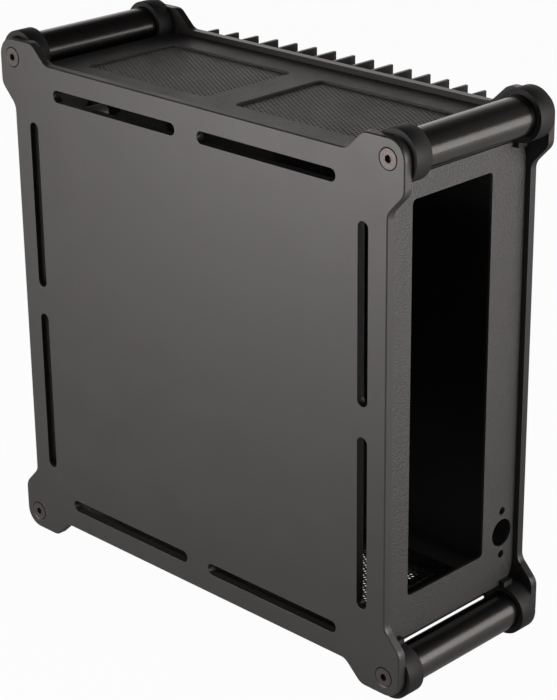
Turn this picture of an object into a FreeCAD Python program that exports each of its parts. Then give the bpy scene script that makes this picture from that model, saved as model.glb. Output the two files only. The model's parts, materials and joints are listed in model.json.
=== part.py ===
import FreeCAD, Part
import os
import types
import Sketcher
from FreeCAD import Placement, Rotation, Vector

# A fanless mini-ITX case: two eared side plates, one of them finned, held apart
# by four round bars, with a recessed panel on each of the four open sides.
# Frame: +Z up, +Y to the rear, +X to the plain side plate, Z = 0 under the feet.

SIZES = {
    # Side plates
    "case_width": 83.5,
    "plate_thick": 3.7,
    "screw_span_y": 204.5,
    "screw_span_z": 205.5,
    "ear_radius": 7.75,
    "ear_flat": 12.0,
    "ear_foot": 20.2,
    "ear_fillet": 5.5,
    "edge_break": 0.45,
    # Vent slots of the plain plate
    "slot_width": 5.0,
    "slot_inset": 11.5,
    "slot_bridge": 12.2,
    "slot_length": 71.4,
    # Fins of the heat plate
    "fin_count": 16,
    "fin_pitch": 10.36,
    "fin_thick": 1.4,
    "fin_reach": 11.9,
    "fin_drop": 6.9,
    "fin_shift": 3.55,
    # Corner bars, their collars and screws
    "bar_dia": 15.6,
    "collar_dia": 20.4,
    "collar_length": 8.0,
    "collar_gap": 0.15,
    "lug_long": 5.0,
    "lug_thick": 2.6,
    "lug_high": 2.2,
    "screw_dia": 4.0,
    "screw_head": 7.6,
    "screw_length": 14.0,
    "screw_socket": 2.8,
    "screw_socket_depth": 1.8,
    "screw_gap": 0.15,
    "sink_gap": 0.5,
    # Panels
    "panel_thick": 1.2,
    "panel_recess": 2.5,
    "panel_short": 10.3,
    "panel_corner": 8.0,
    "tongue_reach": 1.2,
    "tongue_inset": 2.0,
    "fit_gap": 0.1,
    # Rear panel: input-output aperture and power inlet
    "aperture_wide": 44.45,
    "aperture_high": 158.75,
    "aperture_side": 12.5,
    "aperture_raise": 4.05,
    "aperture_corner": 2.0,
    "inlet_dia": 11.6,
    "inlet_side": 7.4,
    "inlet_drop": 69.1,
    "inlet_screw_dia": 3.3,
    "inlet_screw_span": 19.05,
    # Top and bottom panels: windows and their mesh
    "window_wide": 48.2,
    "window_long": 69.5,
    "low_window_long": 55.5,
    "window_bridge": 15.5,
    "window_corner": 3.0,
    "mesh_lap": 4.5,
    "mesh_thick": 0.5,
    "mesh_cells_wide": 4,
    "mesh_cells_long": 6,
    "mesh_web": 3.9,
    # Pillars for the main board, on the board's own hole pattern
    "board_span_z": 157.48,
    "board_rear_offset": 12.27,
    "board_step": 22.86,
    "board_span_y": 154.94,
    "pillar_dia": 6.5,
    "pillar_height": 15.0,
    "pillar_thread": 3.0,
    "pillar_thread_depth": 9.0,
    # Power button of the front panel
    "button_drop": 24.0,
    "button_flange_dia": 19.0,
    "button_flange_thick": 1.6,
    "button_barrel_dia": 15.8,
    "button_barrel_length": 18.0,
    "button_hole_gap": 0.2,
    "button_cap_dia": 12.4,
    "button_cap_length": 6.0,
    "button_cap_proud": 1.9,
    "button_cap_gap": 0.3,
    "button_cap_edge": 0.5,
    "button_travel": 1.5,
    "button_nut_flats": 19.0,
    "button_nut_thick": 2.6,
    "button_blade_wide": 2.8,
    "button_blade_thick": 0.8,
    "button_blade_length": 5.0,
    "button_blade_span": 7.0,
}


class Size:
    """A number together with the sheet formula that it comes from."""

    def __init__(self, value, text):
        self.value = value
        self.text = text

    def __add__(self, other):
        return Size(self.value + number(other), f"({self.text} + {formula(other)})")

    def __sub__(self, other):
        return Size(self.value - number(other), f"({self.text} - {formula(other)})")

    def __rsub__(self, other):
        return Size(number(other) - self.value, f"({formula(other)} - {self.text})")

    def __mul__(self, other):
        return Size(self.value * number(other), f"({self.text} * {formula(other)})")

    def __truediv__(self, other):
        return Size(self.value / number(other), f"({self.text} / {formula(other)})")

    def __neg__(self):
        return Size(-self.value, f"(-{self.text})")


def number(q):
    return q.value if isinstance(q, Size) else float(q)


def formula(q):
    return q.text if isinstance(q, Size) else repr(float(q))


doc = FreeCAD.newDocument("mini_itx_case")
sheet = doc.addObject("Spreadsheet::Sheet", "sizes")
for row, (name, value) in enumerate(SIZES.items(), start=1):
    sheet.set(f"A{row}", name)
    sheet.set(f"B{row}", str(value))
    sheet.setAlias(f"B{row}", name)
doc.recompute()
S = types.SimpleNamespace()
for name in SIZES:
    setattr(S, name, Size(float(sheet.get(name)), f"sizes.{name}"))

parts = []


# Tying shapes to sizes
def bind(obj, prop, q):
    obj.setExpression(prop, formula(q))


def place(obj, x=0, y=0, z=0, turn=None):
    """Puts an object at a point given by sizes, turned as a whole if asked."""
    obj.Placement = Placement(Vector(number(x), number(y), number(z)), turn or Rotation())
    for axis, q in (("x", x), ("y", y), ("z", z)):
        if isinstance(q, Size):
            bind(obj, f"Placement.Base.{axis}", q)


def frame(x_axis, y_axis, z_axis):
    return Rotation(Vector(*x_axis), Vector(*y_axis), Vector(*z_axis), "ZXY")


def keep(obj, label):
    obj.Label = label
    parts.append(obj)
    return obj


# Sketches
def new_body(name):
    return doc.addObject("PartDesign::Body", name)


def sketch_on(body, role, name, offset=None):
    """A sketch on one of the body's own origin planes, moved along its normal if asked."""
    sk = body.newObject("Sketcher::SketchObject", name)
    plane = next(f for f in body.Origin.OriginFeatures if f.Role == role)
    sk.AttachmentSupport = (plane, [""])
    sk.MapMode = "FlatFace"
    if offset is not None:
        sk.AttachmentOffset = Placement(Vector(0, 0, number(offset)), Rotation())
        bind(sk, "AttachmentOffset.Base.z", offset)
    return sk


def locate(sk, geo, pos, x=None, y=None):
    """Ties one point of a sketch to its distances from the sketch's axes."""
    for kind, axis, q in (("DistanceX", -2, x), ("DistanceY", -1, y)):
        if q is None:
            continue
        n = number(q)
        if abs(n) < 1e-9:
            sk.addConstraint(Sketcher.Constraint("PointOnObject", geo, pos, axis))
            continue
        ends = (-1, 1, geo, pos) if n > 0 else (geo, pos, -1, 1)
        i = sk.addConstraint(Sketcher.Constraint(kind, *ends, abs(n)))
        sk.setExpression(f"Constraints[{i}]", formula(q) if n > 0 else f"-{formula(q)}")


def loop(sk, points, arcs=None):
    """A closed outline through points; arcs gives the centre of each edge that is round."""
    arcs = arcs or {}
    xy = [(number(x), number(y)) for x, y in points]
    edges = []
    for k, start in enumerate(xy):
        end = xy[(k + 1) % len(xy)]
        a = Vector(*start, 0)
        b = Vector(*end, 0)
        if k in arcs:
            c = Vector(number(arcs[k][0]), number(arcs[k][1]), 0)
            whole = Part.Circle(c, Vector(0, 0, 1), (a - c).Length)
            geo = sk.addGeometry(Part.ArcOfCircle(whole, whole.parameter(a), whole.parameter(b)))
        else:
            geo = sk.addGeometry(Part.LineSegment(a, b))
        edges.append(geo)
    for k, geo in enumerate(edges):
        sk.addConstraint(Sketcher.Constraint("Coincident", edges[k - 1], 2, geo, 1))
        locate(sk, geo, 1, *points[k])
    for k, (cx, cy) in arcs.items():
        start, end = xy[k], xy[(k + 1) % len(xy)]
        if abs(end[1] - start[1]) >= abs(end[0] - start[0]):
            locate(sk, edges[k], 3, x=cx)
        else:
            locate(sk, edges[k], 3, y=cy)


def box_loop(sk, x0, x1, y0, y1):
    loop(sk, [(x0, y0), (x1, y0), (x1, y1), (x0, y1)])


def round_box(sk, x0, x1, y0, y1, r):
    points = [(x0 + r, y0), (x1 - r, y0), (x1, y0 + r), (x1, y1 - r),
              (x1 - r, y1), (x0 + r, y1), (x0, y1 - r), (x0, y0 + r)]
    arcs = {1: (x1 - r, y0 + r), 3: (x1 - r, y1 - r), 5: (x0 + r, y1 - r), 7: (x0 + r, y0 + r)}
    loop(sk, points, arcs)


def slot_loop(sk, x0, x1, y0, y1):
    """A slot with round ends, along whichever of its sides is longer."""
    if number(x1 - x0) > number(y1 - y0):
        r = (y1 - y0) / 2
        points = [(x0 + r, y0), (x1 - r, y0), (x1 - r, y1), (x0 + r, y1)]
        loop(sk, points, {1: (x1 - r, y0 + r), 3: (x0 + r, y0 + r)})
    else:
        r = (x1 - x0) / 2
        points = [(x1, y0 + r), (x1, y1 - r), (x0, y1 - r), (x0, y0 + r)]
        loop(sk, points, {1: (x0 + r, y1 - r), 3: (x0 + r, y0 + r)})


def circle(sk, x, y, dia):
    geo = sk.addGeometry(Part.Circle(Vector(number(x), number(y), 0), Vector(0, 0, 1), number(dia) / 2))
    locate(sk, geo, 3, x, y)
    i = sk.addConstraint(Sketcher.Constraint("Diameter", geo, number(dia)))
    sk.setExpression(f"Constraints[{i}]", formula(dia))


# Features
def pad(body, sk, length, name, back=False):
    f = body.newObject("PartDesign::Pad", name)
    f.Profile = sk
    bind(f, "Length", length)
    f.Reversed = back
    doc.recompute()
    return f


def pocket(body, sk, name, length=None, back=False):
    """Cuts to a depth, or right through, and makes sure that something was cut."""
    before = body.Shape.Volume
    f = body.newObject("PartDesign::Pocket", name)
    f.Profile = sk
    if length is None:
        f.Type = "ThroughAll"
    else:
        bind(f, "Length", length)
    f.Reversed = back
    doc.recompute()
    if body.Shape.Volume >= before - 1e-6:
        raise RuntimeError(f"{name} cut nothing")
    return f


def mirror_twice(body, originals, name):
    """Repeats features in all four quarters of the YZ plane."""
    multi = body.newObject("PartDesign::MultiTransform", name)
    multi.Originals = originals
    steps = []
    for role in ("XZ_Plane", "XY_Plane"):
        step = doc.addObject("PartDesign::Mirrored", f"{name}_{role}")
        body.addObject(step)
        plane = next(f for f in body.Origin.OriginFeatures if f.Role == role)
        step.MirrorPlane = (plane, [""])
        steps.append(step)
    multi.Transformations = steps
    body.Tip = multi
    doc.recompute()
    return multi


def repeat_both_ways(body, original, sk, pitches, name):
    """Repeats one feature along both axes of its sketch."""
    multi = body.newObject("PartDesign::MultiTransform", name)
    multi.Originals = [original]
    steps = []
    for axis, pitch, count in pitches:
        step = doc.addObject("PartDesign::LinearPattern", f"{name}_{axis}")
        body.addObject(step)
        step.Direction = (sk, [axis])
        bind(step, "Length", pitch * (count - 1))
        bind(step, "Occurrences", count)
        steps.append(step)
    multi.Transformations = steps
    body.Tip = multi
    doc.recompute()
    return multi


def edge_names(shape, wanted):
    return [f"Edge{i}" for i, e in enumerate(shape.Edges, start=1) if wanted(e)]


def dress(body, kind, base, names, size, prop, name):
    if not names:
        raise RuntimeError(f"{name} found no edges")
    f = body.newObject(f"PartDesign::{kind}", name)
    f.Base = (base, names)
    bind(f, prop, size)
    doc.recompute()
    return f


# Places that several pieces share
half_y = S.screw_span_y / 2
half_z = S.screw_span_z / 2
mid_z = S.collar_dia / 2 + half_z
side_outer = (S.case_width + S.fin_reach) / 2
heat_outer = side_outer - S.case_width
side_inner = side_outer - S.plate_thick
heat_inner = heat_outer + S.plate_thick
room = S.case_width - S.plate_thick * 2
mid_x = side_outer - S.case_width / 2
screw_hole = S.screw_dia + S.screw_gap * 2
sink_dia = S.screw_head + S.sink_gap * 2
panel_wide = room - S.fit_gap * 2
panel_high = S.screw_span_z - S.panel_short * 2
panel_deep = S.screw_span_y - S.panel_short * 2
rear_face = half_y - S.panel_recess
top_face = half_z - S.panel_recess


def tongue_half(length):
    return length / 2 - S.panel_corner - S.tongue_inset


# Side plates, drawn with the outer face at X = 0 and the middle at the origin
def eared_plate(name):
    body = new_body(name)
    sk = sketch_on(body, "YZ_Plane", f"{name}_blank_outline")
    box_loop(sk, -half_y, half_y, -half_z, half_z)
    pad(body, sk, S.plate_thick, f"{name}_blank", back=True)
    sk = sketch_on(body, "YZ_Plane", f"{name}_ear_outline")
    y, z, r = half_y, half_z, S.ear_radius
    points = [(y - S.ear_foot, z), (y, z - S.ear_foot), (y + r, z - S.ear_flat),
              (y + r, z), (y, z + r), (y - S.ear_flat, z + r)]
    loop(sk, points, {3: (y, z)})
    ear = pad(body, sk, S.plate_thick, f"{name}_ear", back=True)
    ears = mirror_twice(body, [ear], f"{name}_ears")
    foot = number(S.ear_foot)
    flat = number(S.ear_flat)
    bend_y = {round(number(y) - foot, 3): number(z), round(number(y) - flat, 3): number(z + r)}
    bend_z = {round(number(z) - foot, 3): number(y), round(number(z) - flat, 3): number(y + r)}

    def is_bend(edge):
        if len(edge.Vertexes) != 2 or abs(abs(edge.tangentAt(edge.FirstParameter).x) - 1) > 1e-6:
            return False
        at_y = round(abs(edge.CenterOfMass.y), 3)
        at_z = round(abs(edge.CenterOfMass.z), 3)
        on_top = at_y in bend_y and abs(bend_y[at_y] - at_z) < 0.01
        on_side = at_z in bend_z and abs(bend_z[at_z] - at_y) < 0.01
        return on_top or on_side

    names = edge_names(ears.Shape, is_bend)
    rounded = dress(body, "Fillet", ears, names, S.ear_fillet, "Radius", f"{name}_ear_bends")

    def is_rim(edge):
        return all(abs(v.X) < 1e-6 for v in edge.Vertexes) and abs(edge.CenterOfMass.x) < 1e-6

    broken = dress(body, "Chamfer", rounded, edge_names(rounded.Shape, is_rim), S.edge_break, "Size",
                   f"{name}_rim")
    body.Tip = broken
    sk = sketch_on(body, "YZ_Plane", f"{name}_screw_circle")
    circle(sk, half_y, half_z, screw_hole)
    hole = pocket(body, sk, f"{name}_screw_hole")
    holes = mirror_twice(body, [hole], f"{name}_screw_holes")

    def is_mouth(edge):
        if not isinstance(edge.Curve, Part.Circle) or abs(edge.CenterOfMass.x) > 1e-6:
            return False
        return abs(edge.Curve.Radius - number(screw_hole) / 2) < 1e-4

    dress(body, "Chamfer", holes, edge_names(holes.Shape, is_mouth), (sink_dia - screw_hole) / 2, "Size",
          f"{name}_screw_sinks")
    # Grooves of the inner face that take the panels' tongues
    sk = sketch_on(body, "YZ_Plane", f"{name}_groove_outlines", -S.plate_thick)
    gap = S.fit_gap
    for side in (-1, 1):
        far = [(rear_face + gap) * side, (rear_face - S.panel_thick - gap) * side]
        far.sort(key=number)
        run = tongue_half(panel_high) + gap
        box_loop(sk, far[0], far[1], -run, run)
        far = [(top_face + gap) * side, (top_face - S.panel_thick - gap) * side]
        far.sort(key=number)
        run = tongue_half(panel_deep) + gap
        box_loop(sk, -run, run, far[0], far[1])
    pocket(body, sk, f"{name}_grooves", S.tongue_reach + gap, back=True)
    return body


side_plate = keep(eared_plate("side_plate"), "side_plate")
sk = sketch_on(side_plate, "YZ_Plane", "slot_outlines")
near = S.slot_bridge / 2
end = near + S.slot_length
low = S.slot_inset + S.slot_width / 2
high = S.slot_inset - S.slot_width / 2
slot_loop(sk, near, end, half_z - low, half_z - high)
slot_loop(sk, half_y - low, half_y - high, near, end)
slot = pocket(side_plate, sk, "slots_of_one_quarter")
mirror_twice(side_plate, [slot], "slots")
place(side_plate, side_outer, 0, mid_z)

heat_plate = keep(eared_plate("heat_plate"), "heat_plate")
sk = sketch_on(heat_plate, "YZ_Plane", "fin_outline")
fin_span = (S.fin_count - 1) * S.fin_pitch
fin_middle = -S.fin_shift
first_fin = fin_middle - fin_span / 2
box_loop(sk, first_fin - S.fin_thick / 2, first_fin + S.fin_thick / 2, -half_z, half_z)
fin = pad(heat_plate, sk, S.fin_reach, "fin")
fins = heat_plate.newObject("PartDesign::LinearPattern", "fins")
fins.Originals = [fin]
fins.Direction = (sk, ["H_Axis"])
bind(fins, "Length", fin_span)
bind(fins, "Occurrences", S.fin_count)
heat_plate.Tip = fins
doc.recompute()
# The tips follow a shallow arc, highest in the middle
sk = sketch_on(heat_plate, "XY_Plane", "fin_tip_arc", half_z)
reach_y = fin_span / 2 + S.fin_thick
arc_radius = (reach_y * reach_y + S.fin_drop * S.fin_drop) / (S.fin_drop * 2)
low = S.fin_reach - S.fin_drop
clear = S.fin_reach + S.fin_thick
front_y = fin_middle + reach_y
rear_y = fin_middle - reach_y
tip_corners = [(low, rear_y), (low, front_y), (clear, front_y), (clear, rear_y)]
loop(sk, tip_corners, {0: (S.fin_reach - arc_radius, fin_middle)})
pocket(heat_plate, sk, "fin_tips")
place(heat_plate, heat_outer, 0, mid_z, Rotation(Vector(0, 0, 1), 180))


# Panels, drawn facing +Z with the outer face at Z = 0 and the width along X
def panel(name, length):
    body = new_body(name)
    sk = sketch_on(body, "XY_Plane", f"{name}_outline")
    wide = panel_wide / 2
    round_box(sk, -wide, wide, -length / 2, length / 2, S.panel_corner)
    pad(body, sk, S.panel_thick, f"{name}_sheet", back=True)
    sk = sketch_on(body, "XY_Plane", f"{name}_tongue_outlines")
    run = tongue_half(length)
    for side in (-1, 1):
        span = [(wide - S.tongue_reach) * side, (room / 2 + S.tongue_reach) * side]
        span.sort(key=number)
        box_loop(sk, span[0], span[1], -run, run)
    pad(body, sk, S.panel_thick, f"{name}_tongues", back=True)
    return keep(body, name)


rear_panel = panel("rear_panel", panel_high)
sk = sketch_on(rear_panel, "XY_Plane", "aperture_outline")
left = S.aperture_side - room / 2
middle = S.aperture_raise
tall = S.aperture_high / 2
round_box(sk, left, left + S.aperture_wide, middle - tall, middle + tall, S.aperture_corner)
pocket(rear_panel, sk, "aperture")
sk = sketch_on(rear_panel, "XY_Plane", "inlet_circles")
inlet_x = room / 2 - S.inlet_side
circle(sk, inlet_x, -S.inlet_drop, S.inlet_dia)
for side in (-1, 1):
    circle(sk, inlet_x, S.inlet_screw_span / 2 * side - S.inlet_drop, S.inlet_screw_dia)
pocket(rear_panel, sk, "inlet_holes")
place(rear_panel, mid_x, rear_face, mid_z, frame((-1, 0, 0), (0, 0, 1), (0, 1, 0)))

front_panel = panel("front_panel", panel_high)
button_y = panel_high / 2 - S.button_drop
button_hole = S.button_barrel_dia + S.button_hole_gap * 2
sk = sketch_on(front_panel, "XY_Plane", "button_circle")
circle(sk, 0, button_y, button_hole)
pocket(front_panel, sk, "button_hole")
facing_front = frame((1, 0, 0), (0, 0, 1), (0, -1, 0))
place(front_panel, mid_x, -rear_face, mid_z, facing_front)

# Top and bottom panels, each with two windows and a mesh sheet under each window
window_x = S.window_wide / 2
window_near = S.window_bridge / 2
lap = S.mesh_lap
cell_x = S.window_wide / S.mesh_cells_wide
facing_down = frame((-1, 0, 0), (0, 1, 0), (0, 0, -1))
for level, height, turn, window_long in (("top", mid_z + top_face, None, S.window_long),
                                         ("bottom", mid_z - top_face, facing_down, S.low_window_long)):
    window_far = window_near + window_long
    cell_y = window_long / S.mesh_cells_long
    body = panel(f"{level}_panel", panel_deep)
    sk = sketch_on(body, "XY_Plane", f"{level}_window_outlines")
    round_box(sk, -window_x, window_x, window_near, window_far, S.window_corner)
    round_box(sk, -window_x, window_x, -window_far, -window_near, S.window_corner)
    pocket(body, sk, f"{level}_windows")
    place(body, mid_x, 0, height, turn)
    for end, y0, y1 in (("rear", window_near, window_far), ("front", -window_far, -window_near)):
        mesh = new_body(f"mesh_{level}_{end}")
        sk = sketch_on(mesh, "XY_Plane", f"mesh_{level}_{end}_outline", -S.panel_thick)
        round_box(sk, -window_x - lap, window_x + lap, y0 - lap, y1 + lap, S.window_corner)
        pad(mesh, sk, S.mesh_thick, f"mesh_{level}_{end}_sheet", back=True)
        sk = sketch_on(mesh, "XY_Plane", f"mesh_{level}_{end}_cell", -S.panel_thick)
        edge = S.mesh_web / 2
        box_loop(sk, edge - window_x, cell_x - window_x - edge, y0 + edge, y0 + cell_y - edge)
        cell = pocket(mesh, sk, f"mesh_{level}_{end}_opening")
        pitches = (("H_Axis", cell_x, S.mesh_cells_wide), ("V_Axis", cell_y, S.mesh_cells_long))
        repeat_both_ways(mesh, cell, sk, pitches, f"mesh_{level}_{end}_grid")
        place(mesh, mid_x, 0, height, turn)
        keep(mesh, f"mesh_{level}_{end}")

# Bars between the plates, with a collar at each end whose lug keeps the panel's corner in
thread_depth = S.screw_length - S.plate_thick + S.screw_dia / 2
lug_inside = S.fit_gap - S.panel_recess
lug_root = (S.bar_dia + S.collar_dia) / 4
lug_tip = S.collar_dia / 2 + S.lug_high
for level, z, inward in (("top", mid_z + half_z, -1), ("bottom", mid_z - half_z, 1)):
    for end, y, outward in (("rear", half_y, 1), ("front", -half_y, -1)):
        body = new_body(f"bar_{level}_{end}")
        sk = sketch_on(body, "YZ_Plane", f"bar_{level}_{end}_circle")
        circle(sk, 0, 0, S.bar_dia)
        pad(body, sk, room, f"bar_{level}_{end}_rod")
        for far, offset in ((False, None), (True, room)):
            sk = sketch_on(body, "YZ_Plane", f"bar_{level}_{end}_thread_{int(far)}", offset)
            circle(sk, 0, 0, screw_hole)
            pocket(body, sk, f"bar_{level}_{end}_bore_{int(far)}", thread_depth, back=not far)
        place(body, heat_inner, y, z)
        keep(body, f"bar_{level}_{end}")
        for side, x, lug_x in (("heat", heat_inner, S.collar_length - S.lug_long),
                               ("side", side_inner - S.collar_length, None)):
            name = f"collar_{level}_{end}_{side}"
            ring = new_body(name)
            sk = sketch_on(ring, "YZ_Plane", f"{name}_circles")
            circle(sk, 0, 0, S.collar_dia)
            circle(sk, 0, 0, S.bar_dia + S.collar_gap * 2)
            pad(ring, sk, S.collar_length, f"{name}_sleeve")
            sk = sketch_on(ring, "YZ_Plane", f"{name}_lug_outline", lug_x)
            across = sorted((lug_inside * outward, (lug_inside + S.lug_thick) * outward), key=number)
            along = sorted((lug_root * inward, lug_tip * inward), key=number)
            box_loop(sk, *across, *along)
            pad(ring, sk, S.lug_long, f"{name}_lug")
            place(ring, x, y, z)
            keep(ring, name)


def cylinder(name, dia, height, z=0):
    obj = doc.addObject("Part::Cylinder", name)
    bind(obj, "Radius", dia / 2)
    bind(obj, "Height", height)
    place(obj, 0, 0, z)
    return obj


def hexagon(name, flats, height, z=0):
    obj = doc.addObject("Part::Prism", name)
    obj.Polygon = 6
    bind(obj, "Circumradius", flats / 3 ** 0.5)
    bind(obj, "Height", height)
    place(obj, 0, 0, z)
    return obj


def cut(name, base, tool):
    obj = doc.addObject("Part::Cut", name)
    obj.Base = base
    obj.Tool = tool
    return obj


def group(name, members):
    obj = doc.addObject("Part::Compound", name)
    obj.Links = members
    return keep(obj, name)


# Countersunk screws through the plates into the bars, drawn with the head's face at Z = 0
head_depth = (S.screw_head - S.screw_dia) / 2
facing = {"side": frame((0, 0, -1), (0, 1, 0), (1, 0, 0)), "heat": frame((0, 0, 1), (0, 1, 0), (-1, 0, 0))}
corners = [(half_y * sy, mid_z + half_z * sz) for sy in (-1, 1) for sz in (-1, 1)]
for side, x in (("side", side_outer), ("heat", heat_outer)):
    screws = []
    for k, (y, z) in enumerate(corners):
        name = f"screw_{side}_{k}"
        head = doc.addObject("Part::Cone", f"{name}_head")
        bind(head, "Radius1", S.screw_dia / 2)
        bind(head, "Radius2", S.screw_head / 2)
        bind(head, "Height", head_depth)
        place(head, 0, 0, -head_depth)
        shank = cylinder(f"{name}_shank", S.screw_dia, S.screw_length - head_depth, -S.screw_length)
        whole = doc.addObject("Part::Fuse", f"{name}_blank")
        whole.Base = head
        whole.Tool = shank
        socket = hexagon(f"{name}_socket", S.screw_socket, S.screw_socket_depth, -S.screw_socket_depth)
        screw = cut(name, whole, socket)
        place(screw, x, y, z, facing[side])
        screws.append(screw)
    group(f"screws_{side}", screws)

# Pillars on the plain plate for the main board, two near its rear edge and two near its front edge
board_y = rear_face - S.panel_thick - S.board_rear_offset
board_top = mid_z + S.aperture_raise + S.board_span_z / 2
board_low = mid_z + S.aperture_raise - S.board_span_z / 2
board_front = board_y - S.board_span_y
spots = [(board_y, board_top), (board_y - S.board_step, board_low),
         (board_front, board_top), (board_front, board_low)]
pillars = []
for k, (y, z) in enumerate(spots):
    post = cylinder(f"pillar_{k}_post", S.pillar_dia, S.pillar_height)
    tapped = cylinder(f"pillar_{k}_thread", S.pillar_thread, S.pillar_thread_depth,
                      S.pillar_height - S.pillar_thread_depth)
    pillar = cut(f"pillar_{k}", post, tapped)
    place(pillar, side_inner, y, z, facing["heat"])
    pillars.append(pillar)
group("board_pillars", pillars)

# Power button: a housing clamped to the front panel by a nut, with a sprung cap in its bore
button_at = (mid_x, -rear_face, mid_z + button_y)
housing = new_body("button_housing")
sk = sketch_on(housing, "XY_Plane", "flange_circle")
circle(sk, 0, 0, S.button_flange_dia)
pad(housing, sk, S.button_flange_thick, "flange")
sk = sketch_on(housing, "XY_Plane", "barrel_circle")
circle(sk, 0, 0, S.button_barrel_dia)
pad(housing, sk, S.button_barrel_length, "barrel", back=True)
sk = sketch_on(housing, "XY_Plane", "blade_outlines", -S.button_barrel_length)
for side in (-1, 1):
    x = S.button_blade_span / 2 * side
    wide = S.button_blade_wide / 2
    thick = S.button_blade_thick / 2
    box_loop(sk, x - thick, x + thick, -wide, wide)
pad(housing, sk, S.button_blade_length, "blades", back=True)
sk = sketch_on(housing, "XY_Plane", "bore_circle", S.button_flange_thick)
circle(sk, 0, 0, S.button_cap_dia + S.button_cap_gap * 2)
bore_depth = S.button_cap_length - S.button_cap_proud + S.button_travel + S.button_cap_gap
pocket(housing, sk, "bore", bore_depth)
place(housing, *button_at, facing_front)
keep(housing, "button_housing")

cap = new_body("button_cap")
cap_top = S.button_flange_thick + S.button_cap_proud
sk = sketch_on(cap, "XY_Plane", "cap_circle", cap_top)
circle(sk, 0, 0, S.button_cap_dia)
plug = pad(cap, sk, S.button_cap_length, "plug", back=True)
brow = edge_names(plug.Shape, lambda e: isinstance(e.Curve, Part.Circle)
                  and e.CenterOfMass.z > number(cap_top) - 0.01)
dress(cap, "Chamfer", plug, brow, S.button_cap_edge, "Size", "cap_edge")
place(cap, *button_at, facing_front)
keep(cap, "button_cap")

nut_z = -S.panel_thick - S.button_nut_thick
nut = cut("button_nut", hexagon("nut_blank", S.button_nut_flats, S.button_nut_thick, nut_z),
          cylinder("nut_bore", button_hole, S.button_nut_thick, nut_z))
place(nut, *button_at, facing_front)
keep(nut, "button_nut")

# Checks before anything is written
doc.recompute()
for obj in doc.Objects:
    if "Invalid" in obj.State or "Error" in obj.State:
        raise RuntimeError(f"{obj.Label} failed: {obj.State}")
for obj in parts:
    if obj.Shape.isNull() or not obj.Shape.isValid() or not obj.Shape.Solids:
        raise RuntimeError(f"{obj.Label} has no sound shape")

os.makedirs("parts", exist_ok=True)
for obj in parts:
    obj.Shape.exportStep(f"parts/{obj.Label}.step")
    box = obj.Shape.BoundBox
    print(obj.Label, len(obj.Shape.Solids), round(obj.Shape.Volume, 1),
          [round(v, 2) for v in (box.XMin, box.XMax, box.YMin, box.YMax, box.ZMin, box.ZMax)])
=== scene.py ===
# %% [markdown]
# # A fanless computer case
# The case is a sandwich: two eared side plates, four round bars between their ears, and thin panels
# set back between the plates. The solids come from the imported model, in metres, and stay where they
# are. This lesson gives them eased edges, perforated mesh, finishes, light and a camera.

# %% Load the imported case
import json
import math

import bmesh
import bpy
from mathutils import Matrix, Quaternion, Vector


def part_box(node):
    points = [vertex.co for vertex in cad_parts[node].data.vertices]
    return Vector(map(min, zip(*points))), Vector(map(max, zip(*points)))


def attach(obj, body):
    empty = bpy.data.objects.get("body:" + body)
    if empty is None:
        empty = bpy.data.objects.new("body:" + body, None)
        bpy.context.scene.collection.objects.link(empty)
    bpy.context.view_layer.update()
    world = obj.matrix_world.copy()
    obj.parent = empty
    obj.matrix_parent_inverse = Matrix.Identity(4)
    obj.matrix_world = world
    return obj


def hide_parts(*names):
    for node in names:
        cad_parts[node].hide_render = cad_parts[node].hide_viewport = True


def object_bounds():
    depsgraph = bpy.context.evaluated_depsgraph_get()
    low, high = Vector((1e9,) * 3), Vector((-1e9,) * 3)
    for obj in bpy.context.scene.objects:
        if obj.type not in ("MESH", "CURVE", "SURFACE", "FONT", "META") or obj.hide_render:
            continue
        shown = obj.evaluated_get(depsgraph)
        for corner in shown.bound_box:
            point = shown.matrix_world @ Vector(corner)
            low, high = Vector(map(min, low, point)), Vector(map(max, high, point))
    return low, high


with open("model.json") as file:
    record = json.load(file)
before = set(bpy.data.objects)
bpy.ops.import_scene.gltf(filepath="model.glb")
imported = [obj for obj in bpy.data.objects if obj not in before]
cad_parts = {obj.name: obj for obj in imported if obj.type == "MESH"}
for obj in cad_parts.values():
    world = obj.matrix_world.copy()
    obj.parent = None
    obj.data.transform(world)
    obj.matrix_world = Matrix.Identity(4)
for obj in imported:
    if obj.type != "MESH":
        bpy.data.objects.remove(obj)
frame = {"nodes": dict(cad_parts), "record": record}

MM = 0.001
cad_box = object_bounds()
print("nodes:", len(frame["nodes"]), "box:", [tuple(round(c, 4) for c in corner) for corner in cad_box])

# %% [markdown]
# ## Camera
# The photograph was taken from behind and above with a long lens. Its place and angles were worked
# out from the corners of the case, so the camera is set by numbers and not by eye. A long lens far
# away keeps the edges of the plates nearly parallel, as they are in the picture.

# %% Camera
CAMERA_PLACE = Vector((572.22, 570.13, 435.02)) * MM
CAMERA_TURN = math.radians(44.86)
CAMERA_TILT = math.radians(22.43)
CAMERA_ROLL = math.radians(-0.68)
CAMERA_LENS = 109.74
CAMERA_SENSOR = 36.0
NEAREST_SEEN = 0.05
FARTHEST_SEEN = 50.0
MIDDLE = (cad_box[0] + cad_box[1]) / 2


def add_object(name, data):
    obj = bpy.data.objects.new(name, data)
    bpy.context.scene.collection.objects.link(obj)
    return obj


def direction(turn, tilt):
    """Unit vector at an angle from +X towards +Y, and an angle above the floor."""
    level = math.cos(tilt)
    return Vector((level * math.cos(turn), level * math.sin(turn), math.sin(tilt)))


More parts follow.
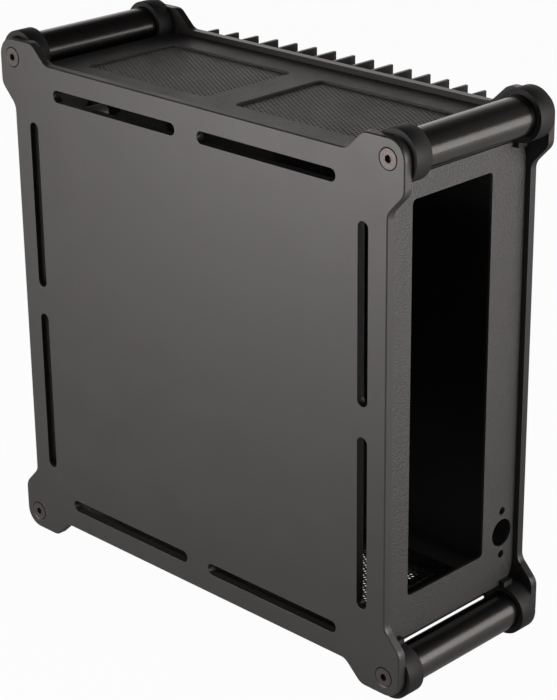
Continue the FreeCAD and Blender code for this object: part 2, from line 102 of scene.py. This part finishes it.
def make_camera():
    data = bpy.data.cameras.new("photo_camera")
    data.lens = CAMERA_LENS
    data.sensor_width = CAMERA_SENSOR
    data.clip_start = NEAREST_SEEN
    data.clip_end = FARTHEST_SEEN
    camera = add_object("photo_camera", data)
    camera.location = CAMERA_PLACE
    camera.rotation_mode = "QUATERNION"
    aim = (-direction(CAMERA_TURN, CAMERA_TILT)).to_track_quat("-Z", "Y")
    camera.rotation_quaternion = aim @ Quaternion((0, 0, 1), CAMERA_ROLL)
    bpy.context.scene.camera = camera
    return camera


camera = make_camera()
print(camera.name, round((camera.location - MIDDLE).length, 3), "m from the middle of the case")

# %% [markdown]
# ## Finishes
# Every finish is built from nodes on Object coordinates, so a grain keeps its real size on every
# piece. Painted pictures of the surfaces would need unwrapped meshes, and noise doesn't. One helper
# makes the shader and a noise of a given grain; each finish then says what its grain does to colour,
# roughness and bump.


# %% Helpers for finishes
def scaled(color, factor):
    return tuple(c * factor for c in color)


class Finish:
    """A material with one principled shader and a few helpers to wire it."""

    # A Mix node has sockets for each kind of data, so they are picked by number
    MIX_SHARE = 0
    MIX_NUMBERS = (2, 3)
    MIX_COLORS = (6, 7)
    MIXED_NUMBER = 0
    MIXED_COLOR = 2
    # Most of a noise lies between these two values
    NOISE_RANGE = (0.3, 0.7)

    def __init__(self, name, color, roughness, metallic=0.0, ior=1.5):
        self.material = bpy.data.materials.new(name)
        self.material.use_nodes = True
        self.tree = self.material.node_tree
        self.color = color
        self.roughness = roughness
        self.shader = self.tree.nodes["Principled BSDF"]
        self.shader.inputs["Base Color"].default_value = (*color, 1.0)
        self.shader.inputs["Roughness"].default_value = roughness
        self.shader.inputs["Metallic"].default_value = metallic
        self.shader.inputs["IOR"].default_value = ior
        self.coords = self.add("ShaderNodeTexCoord")

    def add(self, kind, **settings):
        node = self.tree.nodes.new(kind)
        for name, value in settings.items():
            setattr(node, name, value)
        return node

    def join(self, source, target):
        self.tree.links.new(source, target)

    def noise(self, grain, detail=2.0, roughness=0.5, stretch=None):
        """Noise whose lumps are about one grain across, in metres."""
        node = self.add("ShaderNodeTexNoise")
        node.inputs["Scale"].default_value = 1.0 / grain
        node.inputs["Detail"].default_value = detail
        node.inputs["Roughness"].default_value = roughness
        vector = self.coords.outputs["Object"]
        if stretch:
            mapping = self.add("ShaderNodeMapping")
            mapping.inputs["Scale"].default_value = stretch
            self.join(vector, mapping.inputs["Vector"])
            vector = mapping.outputs["Vector"]
        self.join(vector, node.inputs["Vector"])
        return node.outputs["Fac"]

    def part_of(self, output, axis):
        """One number of a coordinate: where a point lies, or which way its face looks."""
        node = self.add("ShaderNodeSeparateXYZ")
        self.join(self.coords.outputs[output], node.inputs[0])
        return node.outputs[axis]

    def span(self, value, low, high, limits=NOISE_RANGE):
        """Stretches a value between two limits to run from low to high."""
        node = self.add("ShaderNodeMapRange")
        node.inputs["From Min"].default_value, node.inputs["From Max"].default_value = limits
        node.inputs["To Min"].default_value = low
        node.inputs["To Max"].default_value = high
        self.join(value, node.inputs["Value"])
        return node.outputs["Result"]

    def vary_color(self, value, spread, limits=NOISE_RANGE):
        """Runs the colour from a darker to a lighter shade of itself."""
        node = self.add("ShaderNodeMix", data_type="RGBA")
        for socket, factor in zip(self.MIX_COLORS, (1 - spread, 1 + spread)):
            node.inputs[socket].default_value = (*scaled(self.color, factor), 1.0)
        self.join(self.span(value, 0.0, 1.0, limits), node.inputs[self.MIX_SHARE])
        self.join(node.outputs[self.MIXED_COLOR], self.shader.inputs["Base Color"])

    def vary_roughness(self, value, spread):
        """Runs the roughness up with the value, or down where the spread is negative."""
        varied = self.span(value, self.roughness - spread, self.roughness + spread)
        self.join(varied, self.shader.inputs["Roughness"])

    def bump(self, value, height):
        node = self.add("ShaderNodeBump")
        node.inputs["Distance"].default_value = height
        self.join(value, node.inputs["Height"])
        self.join(node.outputs["Normal"], self.shader.inputs["Normal"])


# %% [markdown]
# The plates are satin black anodised aluminium. Anodising leaves a clear hard skin over the dye, so
# the shader stays dielectric with a high index. The panels are blasted more coarsely than the plates,
# which the photograph shows as a fine sparkle, and the perforated sheet is matt black.

# %% Blasted finishes
PLATE_COLOR = (0.016, 0.015, 0.0145)
PANEL_COLOR = (0.0162, 0.0153, 0.01485)
MESH_COLOR = (0.050, 0.047, 0.045)
PLATE_ROUGHNESS = 0.46
ANODISED_IOR = 1.65
PAINTED_IOR = 2.0
FINE_GRAIN = 0.35 * MM
FINE_SPARKLE = 0.08
FINE_BUMP = 0.006 * MM
SPECK_DETAIL = 3.0
CLOUD = 18 * MM
CLOUD_SPREAD = 0.03


def blasted(name, color, roughness, grain, sparkle, height, ior=ANODISED_IOR):
    """A speck for every blasted pit, and a slow drift of the roughness over the sheet."""
    finish = Finish(name, color, roughness, ior=ior)
    speck = finish.noise(grain, detail=SPECK_DETAIL)
    finish.vary_color(speck, sparkle)
    finish.vary_roughness(finish.noise(CLOUD), CLOUD_SPREAD)
    finish.bump(speck, height)
    return finish.material


FINISHES = {
    "plate_black": blasted("plate_black", PLATE_COLOR, PLATE_ROUGHNESS, FINE_GRAIN, FINE_SPARKLE, FINE_BUMP),
    "panel_black": blasted("panel_black", PANEL_COLOR, roughness=0.45, grain=0.55 * MM, sparkle=0.5,
                           height=0.30 * MM),
    "mesh_black": blasted("mesh_black", MESH_COLOR, roughness=0.42, grain=0.5 * MM, sparkle=0.1,
                          height=0.01 * MM, ior=PAINTED_IOR),
}
print("blasted:", sorted(FINISHES))

# %% [markdown]
# The finned plate is an extrusion: its cut ends are milled smooth and its fins are rougher than its
# flat. It is one piece, so the material tells those places apart by where a point lies and by the
# way that its face looks.

# %% Finned plate
# Half the colour of the plates: painted shade for the shade the fins cast on one another, spread over the
# whole finned plate
HEAT_COLOR_WITH_PAINTED_SHADE = scaled(PLATE_COLOR, 0.5)
HEAT_IOR = 1.52
END_ROUGHNESS = 0.30
FIN_ROUGHNESS = 0.80
FIN_ROOT = -36 * MM
FIN_BLEND = 0.3 * MM
LOOKS_UP = (0.4, 0.6)


def finned(name, color):
    finish = Finish(name, color, PLATE_ROUGHNESS, ior=HEAT_IOR)
    speck = finish.noise(FINE_GRAIN, detail=SPECK_DETAIL)
    finish.vary_color(speck, FINE_SPARKLE)
    across = finish.part_of("Object", "X")
    sides = finish.span(across, FIN_ROUGHNESS, PLATE_ROUGHNESS, (FIN_ROOT - FIN_BLEND, FIN_ROOT))
    upward = finish.span(finish.part_of("Normal", "Z"), 0.0, 1.0, LOOKS_UP)
    ends = finish.add("ShaderNodeMix")
    side_socket, end_socket = (ends.inputs[k] for k in finish.MIX_NUMBERS)
    finish.join(upward, ends.inputs[finish.MIX_SHARE])
    finish.join(sides, side_socket)
    end_socket.default_value = END_ROUGHNESS
    finish.join(ends.outputs[finish.MIXED_NUMBER], finish.shader.inputs["Roughness"])
    finish.bump(speck, FINE_BUMP)
    return finish.material


FINISHES["heat_black"] = finned("heat_black", HEAT_COLOR_WITH_PAINTED_SHADE)
print("finned:", FINISHES["heat_black"].name)

# %% [markdown]
# The bars and the button are turned: a lathe leaves fine rings round the axis, which a noise gives
# when it is stretched round that axis. The bars are dark bright metal, so they mirror what is low
# behind the case and stay black above it. The button is plainer and dielectric.

# %% Turned finishes
BAR_COLOR = (0.12, 0.117, 0.115)
BUTTON_COLOR = (0.02, 0.02, 0.02)
CAP_COLOR = (0.03, 0.03, 0.03)
RING_GRAIN = 0.6 * MM
RING_STRETCH = (1.0, 0.04, 0.04)
RING_SPREAD = 0.004
TURNED_SPARKLE = 0.15
TURNED_BUMP = 0.03 * MM


def turned(name, color, roughness, metallic=0.0):
    """Turned and anodised: fine rings round the axis and a faint sparkle."""
    finish = Finish(name, color, roughness, metallic, ANODISED_IOR)
    rings = finish.noise(RING_GRAIN, detail=1.0, stretch=RING_STRETCH)
    speck = finish.noise(RING_GRAIN, detail=SPECK_DETAIL)
    finish.vary_color(speck, TURNED_SPARKLE)
    finish.vary_roughness(rings, RING_SPREAD)
    finish.bump(speck, TURNED_BUMP)
    return finish.material


FINISHES["bar_black"] = turned("bar_black", BAR_COLOR, roughness=0.23, metallic=1.0)
FINISHES["button_black"] = turned("button_black", BUTTON_COLOR, roughness=0.34)
FINISHES["button_cap"] = turned("button_cap", CAP_COLOR, roughness=0.30)
print("turned:", [name for name in FINISHES if name.startswith(("bar", "button"))])

# %% [markdown]
# The collars are matt rubber with a fine moulded grain. The screws are blackened steel that has
# rubbed to a warm grey, and the pillars are plain plated steel. Where steel is rubbed it is both
# lighter and smoother, so one noise drives the two, in opposite directions.

# %% Rubber and steel
RUBBER_COLOR = (0.006, 0.006, 0.006)
RUBBER_ROUGHNESS = 0.60
RUBBER_IOR = 1.4
RUBBER_GRAIN = 0.4 * MM
RUBBER_CLOUD = 6 * MM
RUBBER_SHADES = 0.2
RUBBER_SPREAD = 0.06
RUBBER_BUMP = 0.015 * MM
SCREW_COLOR = (0.10, 0.087, 0.085)
PILLAR_COLOR = (0.5, 0.49, 0.47)
STEEL_METALLIC = 0.85
STEEL_GRAIN = 0.45 * MM
STEEL_BUMP = 0.01 * MM
RUB_LIMITS = (0.35, 0.65)
RUB_SPREAD = 0.08
FINE_DETAIL = 4.0


def rubber(name, color, roughness):
    finish = Finish(name, color, roughness, ior=RUBBER_IOR)
    grain = finish.noise(RUBBER_GRAIN, detail=FINE_DETAIL)
    finish.vary_color(finish.noise(RUBBER_CLOUD), RUBBER_SHADES)
    finish.vary_roughness(grain, RUBBER_SPREAD)
    finish.bump(grain, RUBBER_BUMP)
    return finish.material


def worn_steel(name, color, roughness, wear):
    finish = Finish(name, color, roughness, STEEL_METALLIC)
    speck = finish.noise(STEEL_GRAIN, detail=FINE_DETAIL, roughness=0.65)
    finish.vary_color(speck, wear, RUB_LIMITS)
    finish.vary_roughness(speck, -RUB_SPREAD)
    finish.bump(speck, STEEL_BUMP)
    return finish.material


FINISHES["collar_rubber"] = rubber("collar_rubber", RUBBER_COLOR, RUBBER_ROUGHNESS)
FINISHES["screw_steel"] = worn_steel("screw_steel", SCREW_COLOR, roughness=0.42, wear=0.45)
FINISHES["pillar_steel"] = worn_steel("pillar_steel", PILLAR_COLOR, roughness=0.35, wear=0.1)
print("all finishes:", sorted(FINISHES))

# %% [markdown]
# ## Dressing the solids
# A machined edge is never perfectly sharp: it is broken by a fraction of a millimetre, and that thin
# strip is what catches the light. A shader can fake it, but then the mesh by itself stays sharp. So
# each solid is copied, its loose triangles are merged, flat faces are made whole, and its sharp
# edges get a small bevel. The copy stands for the solid.

# %% Eased copies of the solids
SHARP = math.radians(34)
FLAT = math.radians(0.6)
SMALL_FACE = 12 * MM * MM
SAME_POINT = 0.002 * MM
PLATE_EASE = 0.35 * MM
PANEL_EASE = 0.15 * MM
COLLAR_EASE = 0.25 * MM
EASE_STEPS = 2
SLOT_OF = {row["node"]: row["material_slot"] for row in frame["record"]["subparts"]}
BODY_OF = {node: body for body, nodes in frame["record"]["behaviour"]["bodies"].items() for node in nodes}


def finish_mesh(bm, name, node):
    """Turns a bmesh into a piece that stands for a node and rides on its body."""
    mesh = bpy.data.meshes.new(name)
    for edge in bm.edges:
        edge.smooth = edge.is_manifold and edge.calc_face_angle(math.pi) < SHARP
    for face in bm.faces:
        face.smooth = face.calc_area() < SMALL_FACE
    bm.to_mesh(mesh)
    bm.free()
    piece = add_object(name, mesh)
    mesh.materials.append(FINISHES[SLOT_OF[node]])
    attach(piece, BODY_OF[node])
    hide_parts(node)
    return piece


def eased(node, width):
    bm = bmesh.new()
    bm.from_mesh(frame["nodes"][node].data)
    bmesh.ops.remove_doubles(bm, verts=bm.verts, dist=SAME_POINT)
    bmesh.ops.dissolve_limit(bm, angle_limit=FLAT, verts=bm.verts, edges=bm.edges)
    sharp = [e for e in bm.edges if e.is_manifold and e.calc_face_angle() > SHARP]
    bmesh.ops.bevel(bm, geom=sharp, offset=width, offset_type="OFFSET", segments=EASE_STEPS, profile=0.5,
                    affect="EDGES", material=-1, clamp_overlap=True)
    return finish_mesh(bm, f"{node}_eased", node)


EASE = {"side_plate": PLATE_EASE, "heat_plate": PLATE_EASE}
EASE.update({f"{side}_panel": PANEL_EASE for side in ("rear", "front", "top", "bottom")})
EASE.update({node: COLLAR_EASE for node in frame["nodes"] if node.startswith("collar_")})
for node, width in EASE.items():
    piece = eased(node, width)
    print(piece.name, len(piece.data.polygons), "faces")

# %% [markdown]
# ## Perforated mesh
# The windows are backed by perforated sheet: round holes on a triangular lattice, its rows across
# the width of the case. A see-through pattern on a flat sheet would be lighter, but real holes also
# show their thickness and let the light through. One six-sided cell with a round hole is made,
# repeated along the row and then from row to row, cut to the sheet's outline and given its thickness.

# %% One cell of the lattice
HOLE_PITCH = 2.0 * MM
HOLE_DIA = 1.4 * MM
ROW_STEP = HOLE_PITCH * math.sqrt(3)
CELL_TURN = math.radians(30)
CELL_RIM = 0.3
SAME_CORNER = 0.01 * MM
ON_CUT = 1e-7


def everything(bm):
    return bm.verts[:] + bm.edges[:] + bm.faces[:]


def hole_cell(bm):
    """One lattice cell: a hexagon of twelve edge points with a twelve-sided hole."""
    corner = HOLE_PITCH / math.sqrt(3)
    bmesh.ops.create_circle(bm, cap_ends=True, segments=6, radius=corner)
    bmesh.ops.rotate(bm, verts=bm.verts, matrix=Matrix.Rotation(CELL_TURN, 3, "Z"))
    bmesh.ops.subdivide_edges(bm, edges=bm.edges[:], cuts=1)
    face = bm.faces[:][0]
    bmesh.ops.inset_individual(bm, faces=[face], thickness=corner * CELL_RIM)
    for vert in face.verts:
        vert.co *= HOLE_DIA / 2 / vert.co.length
    bmesh.ops.delete(bm, geom=[face], context="FACES_ONLY")


def repeat(bm, step, count):
    """Repeats everything in the bmesh along a step."""
    bmesh.ops.spin(bm, geom=everything(bm), cent=(0, 0, 0), axis=(0, 0, 1), dvec=step, angle=0.0,
                   steps=count, use_duplicate=True)


print("lattice:", round(HOLE_PITCH / MM, 2), "mm pitch,", round(HOLE_DIA / MM, 2), "mm holes")

# %% [markdown]
# The lattice is made a little larger than the sheet, centred on it and trimmed at its four sides.
# Only then does it get its thickness, so that the trimmed holes are closed too.


# %% Perforated sheets
def perforated(node):
    low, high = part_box(node)
    middle = (low + high) / 2
    size = high - low
    bm = bmesh.new()
    hole_cell(bm)
    repeat(bm, Vector((HOLE_PITCH / 2, ROW_STEP / 2, 0)), 1)
    repeat(bm, Vector((HOLE_PITCH, 0, 0)), math.ceil(size.x / HOLE_PITCH) + 1)
    repeat(bm, Vector((0, ROW_STEP, 0)), math.ceil(size.y / ROW_STEP) + 1)
    bmesh.ops.remove_doubles(bm, verts=bm.verts, dist=SAME_CORNER)
    spread = [max(v.co[k] for v in bm.verts) + min(v.co[k] for v in bm.verts) for k in (0, 1)]
    bmesh.ops.translate(bm, verts=bm.verts, vec=(middle.x - spread[0] / 2, middle.y - spread[1] / 2, low.z))
    for normal, point in (((1, 0, 0), high), ((-1, 0, 0), low), ((0, 1, 0), high), ((0, -1, 0), low)):
        bmesh.ops.bisect_plane(bm, geom=everything(bm), dist=ON_CUT, plane_co=point, plane_no=normal,
                               clear_outer=True)
    bmesh.ops.recalc_face_normals(bm, faces=bm.faces)
    bmesh.ops.solidify(bm, geom=bm.faces[:], thickness=size.z)
    bmesh.ops.recalc_face_normals(bm, faces=bm.faces)
    lift = low.z - min(v.co.z for v in bm.verts)
    bmesh.ops.translate(bm, verts=bm.verts, vec=(0, 0, lift))
    return finish_mesh(bm, f"{node}_perforated", node)


for level in ("top", "bottom"):
    for end in ("rear", "front"):
        piece = perforated(f"mesh_{level}_{end}")
        print(piece.name, len(piece.data.polygons), "faces")

# %% [markdown]
# ## Solids that stay
# The bars, screws, pillars and the button already have their true form, so they keep their solids
# and only change their finish.

# %% Finish the remaining solids
for node, piece in frame["nodes"].items():
    if piece.hide_render:
        continue
    piece.data.materials.clear()
    piece.data.materials.append(FINISHES[SLOT_OF[node]])
print("kept solids:", sum(not piece.hide_render for piece in frame["nodes"].values()))

# %% [markdown]
# ## Studio
# The picture is a product shot on white. The white comes from the glow of the table and the room,
# which the camera sees in full. More light on the case would whiten the table too, but it would wash
# out the black. The glow shows in the metal as well, but dimmer, and what it leaves of the table
# keeps the shadow.

# %% Floor
FLOOR_SIZE = 8.0
FLOOR_COLOR = (0.4, 0.4, 0.4)
FLOOR_ROUGHNESS = 0.7
FLOOR_GLOW = 0.97
FLOOR_MIRRORED = 0.12


def math_node(tree, operation, *values):
    """A Math node whose inputs are numbers or the outputs of other nodes."""
    node = tree.nodes.new("ShaderNodeMath")
    node.operation = operation
    for socket, value in zip(node.inputs, values):
        if isinstance(value, float):
            socket.default_value = value
        else:
            tree.links.new(value, socket)
    return node.outputs[0]


def glow_share(tree, seen, mirrored):
    """How much of a surface is glow: most to the camera, less in a reflection or through glass."""
    path = tree.nodes.new("ShaderNodeLightPath")
    share = 0.0
    for kind, level in (("Is Camera Ray", seen), ("Is Glossy Ray", mirrored),
                        ("Is Transmission Ray", mirrored)):
        share = math_node(tree, "MULTIPLY_ADD", path.outputs[kind], level, share)
    return share


def white_table():
    material = bpy.data.materials.new("white_table")
    material.use_nodes = True
    tree = material.node_tree
    shader = tree.nodes["Principled BSDF"]
    shader.inputs["Base Color"].default_value = (*FLOOR_COLOR, 1.0)
    shader.inputs["Roughness"].default_value = FLOOR_ROUGHNESS
    glow = tree.nodes.new("ShaderNodeEmission")
    mix = tree.nodes.new("ShaderNodeMixShader")
    sources = (glow_share(tree, FLOOR_GLOW, FLOOR_MIRRORED), shader.outputs[0], glow.outputs[0])
    for source, socket in zip(sources, mix.inputs):
        tree.links.new(source, socket)
    tree.links.new(mix.outputs[0], tree.nodes["Material Output"].inputs["Surface"])
    return material


def make_floor():
    bm = bmesh.new()
    bmesh.ops.create_grid(bm, x_segments=1, y_segments=1, size=FLOOR_SIZE / 2)
    mesh = bpy.data.meshes.new("floor")
    bm.to_mesh(mesh)
    bm.free()
    mesh.materials.append(white_table())
    floor = add_object("floor", mesh)
    return floor


print(make_floor().name, FLOOR_SIZE, "m")

# %% [markdown]
# To the case the room is dark overhead, which is why the round bars show black beside their bright
# bands, and it has a bright low backdrop behind. Two soft fades make that backdrop: one by how
# squarely a direction points behind the case, one by its height.

# %% Room
WARM = (1.0, 0.955, 0.935)
ROOM_SEEN = 1.0
ROOM_MIRRORED = 0.02
ROOM_LIGHT = 0.01
BACKDROP = 1.0
BACKDROP_SIDE = (-0.85, -0.53, 0.0)
BACKDROP_EDGE = (0.3, 0.8)
BACKDROP_TOP = (0.65, 0.25)


def faded(tree, value, limits):
    node = tree.nodes.new("ShaderNodeMapRange")
    node.inputs["From Min"].default_value, node.inputs["From Max"].default_value = limits
    tree.links.new(value, node.inputs["Value"])
    return node.outputs["Result"]


def make_room():
    """White to the camera; to the case, a bright low backdrop behind it and a dark room elsewhere."""
    world = bpy.data.worlds.new("studio_room")
    bpy.context.scene.world = world
    world.use_nodes = True
    tree = world.node_tree
    background = tree.nodes["Background"]
    background.inputs["Color"].default_value = (*WARM, 1.0)
    coords = tree.nodes.new("ShaderNodeTexCoord")
    behind = tree.nodes.new("ShaderNodeVectorMath")
    behind.operation = "DOT_PRODUCT"
    behind.inputs[1].default_value = BACKDROP_SIDE
    height = tree.nodes.new("ShaderNodeSeparateXYZ")
    for node in (behind, height):
        tree.links.new(coords.outputs["Generated"], node.inputs[0])
    squarely = faded(tree, behind.outputs["Value"], BACKDROP_EDGE)
    low = faded(tree, height.outputs["Z"], BACKDROP_TOP)
    glow = math_node(tree, "MULTIPLY", squarely, low)
    lit = math_node(tree, "MULTIPLY_ADD", glow, BACKDROP, ROOM_LIGHT)
    strength = math_node(tree, "MAXIMUM", glow_share(tree, ROOM_SEEN, ROOM_MIRRORED), lit)
    tree.links.new(strength, background.inputs["Strength"])
    return world


print(make_room().name, "with a backdrop of", BACKDROP)

# %% [markdown]
# Three soft lamps do the rest: a box on the left for the plain plate, one on the right for the rear
# panel, and a low strip far right that makes the bright bands on the bars. They stand low, so that
# the plates grow darker from top to bottom as they do in the picture.

# %% Soft lights
LIGHTS = {
    "left_box": {"place": (0.60, -0.24, 0.23), "aim": MIDDLE, "size": (0.45, 0.40), "power": 4.7},
    "right_box": {"place": (-0.07, 0.62, 0.22), "aim": MIDDLE, "size": (0.40, 0.34), "power": 3.4},
    "low_strip": {"place": (-0.43, 0.53, 0.15), "aim": (0.0, 0.1, 0.15), "size": (0.5, 0.30), "power": 0.75},
}


def softbox(name, place, aim, size, power):
    data = bpy.data.lights.new(name, "AREA")
    data.shape = "RECTANGLE"
    data.size, data.size_y = size
    data.energy = power
    data.color = WARM
    lamp = add_object(name, data)
    lamp.location = place
    lamp.rotation_mode = "QUATERNION"
    lamp.rotation_quaternion = (Vector(aim) - Vector(place)).to_track_quat("-Z", "Y")
    return lamp


for name, settings in LIGHTS.items():
    lamp = softbox(name, **settings)
    print(lamp.name, round(lamp.data.energy, 2), "W")

# %% [markdown]
# ## View
# The picture keeps its colours plain, with the Standard view transform. The dressed case may not
# be bigger than the solids.

bpy.context.scene.view_settings.view_transform = "Standard"
